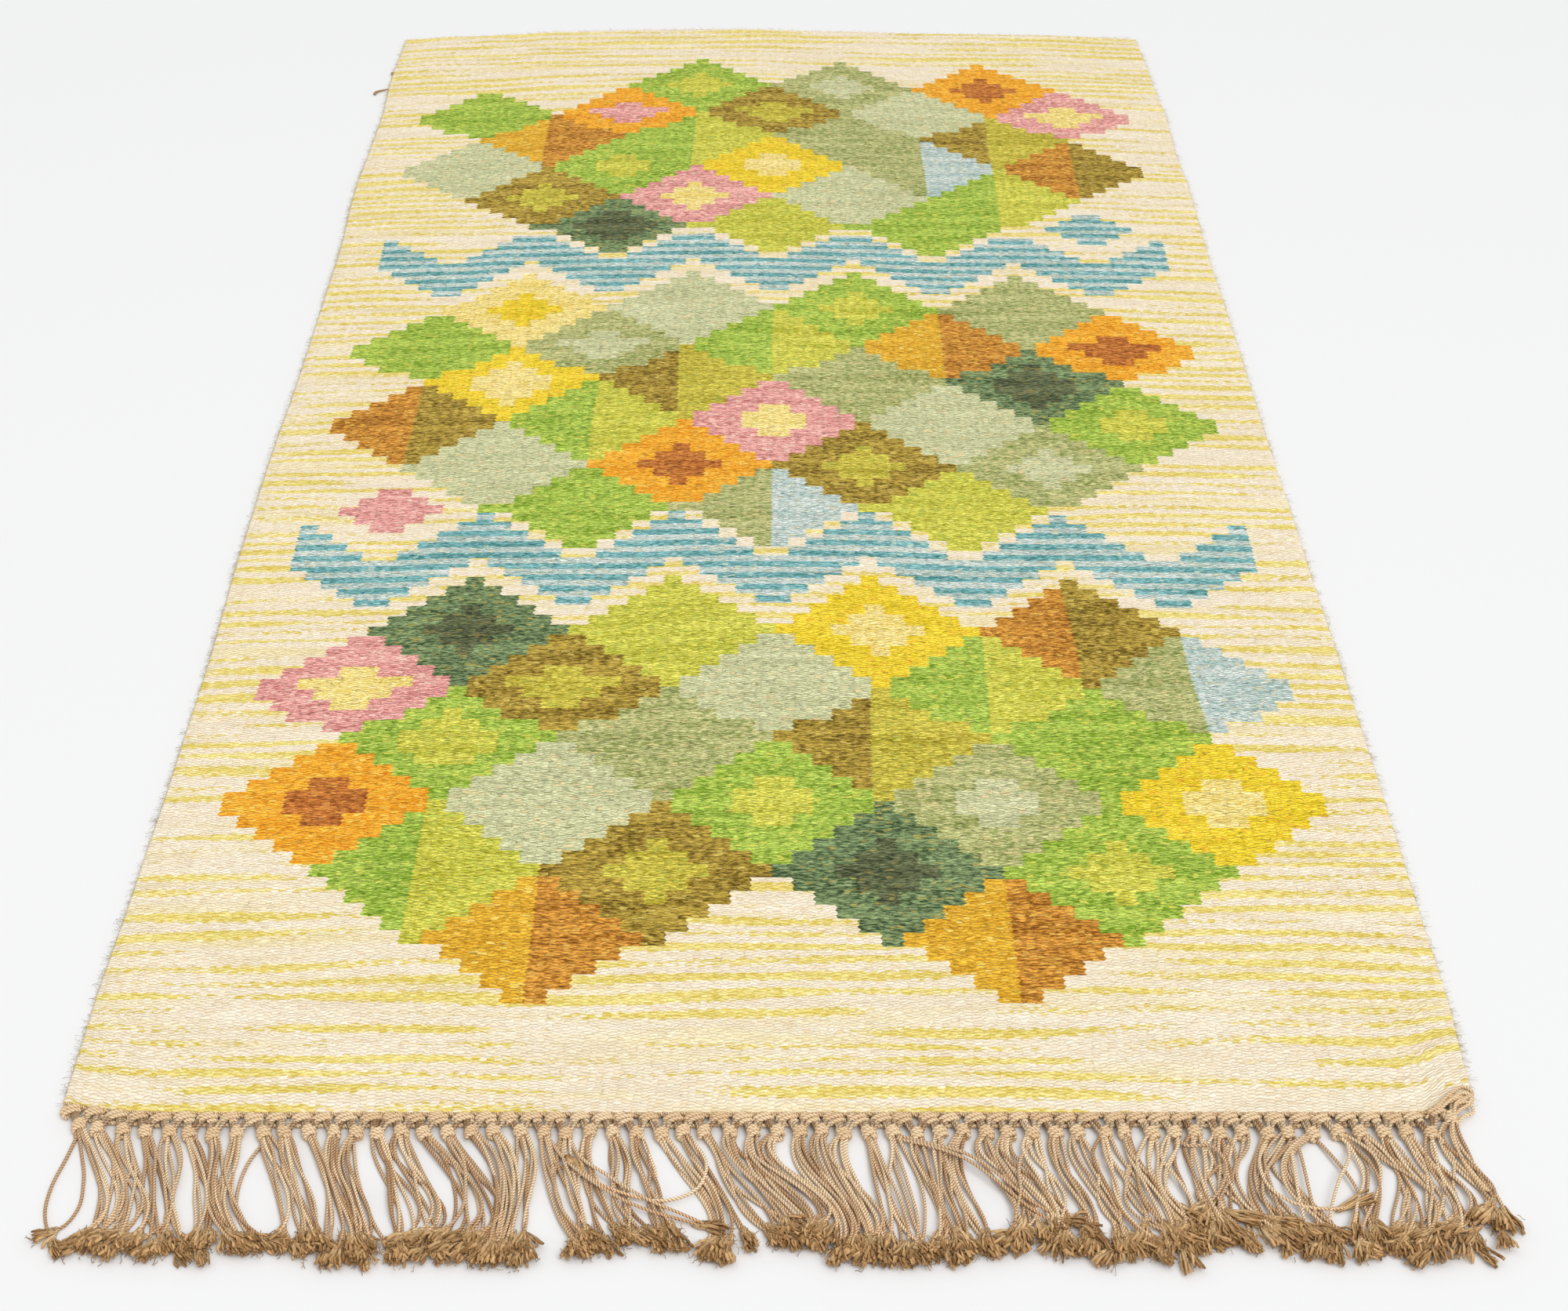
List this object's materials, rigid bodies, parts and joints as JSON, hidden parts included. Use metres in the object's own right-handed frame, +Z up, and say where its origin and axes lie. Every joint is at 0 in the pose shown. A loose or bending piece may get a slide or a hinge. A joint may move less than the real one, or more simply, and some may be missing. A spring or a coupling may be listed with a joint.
{
  "type": "flatweave wall hanging",
  "caption": "Long flatwoven wool panel with stepped patches of colour, one plain end and a two-row knotted linen fringe at the other, laid out flat.",
  "frame": {"origin": "on the floor, at the middle of the bottom of the whole outline, cloth and fringe together", "axes": "+X across the hanging to the picture's right, +Y along it from the fringe to the plain end, +Z up out of the woven face"},
  "size_m": [0.7634, 1.7234, 0.0064],
  "materials": {
    "wool_weave": "matte wool weft, ribbed by the warps it covers, cream with yellow streaks and stepped colour patches",
    "linen_warp": "matte two-ply linen twine, natural tan, knotted, with darker frayed tips"
  },
  "bodies": {
    "root": {"cloth": "wool_weave", "fringe": "linen_warp"}
  },
  "joints": []
}
